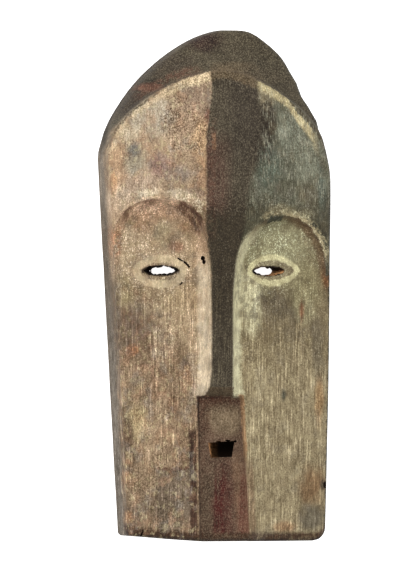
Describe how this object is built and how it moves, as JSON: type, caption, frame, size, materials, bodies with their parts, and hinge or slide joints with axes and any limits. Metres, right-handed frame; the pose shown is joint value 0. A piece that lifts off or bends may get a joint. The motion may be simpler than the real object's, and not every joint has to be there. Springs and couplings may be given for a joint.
{
  "type": "miniature face mask",
  "caption": "Small carved wooden face mask with arched brows, a long flat nose, slit eyes, a sunk mouth panel and a hollow back, lying face up.",
  "frame": {"origin": "under the middle of the mask, on the surface that its flat back lies on", "axes": "+X to the viewer's right across the face, +Y along the mask from the chin to the crown, +Z out of the face"},
  "size_m": [0.0808, 0.18, 0.0322],
  "materials": {
    "painted_wood": "worn matte earth paint on carved wood, cream and grey on the face, dark brown on the cap, nose stripe and mouth panel"
  },
  "bodies": {
    "root": {"mask": "painted_wood"}
  },
  "joints": []
}
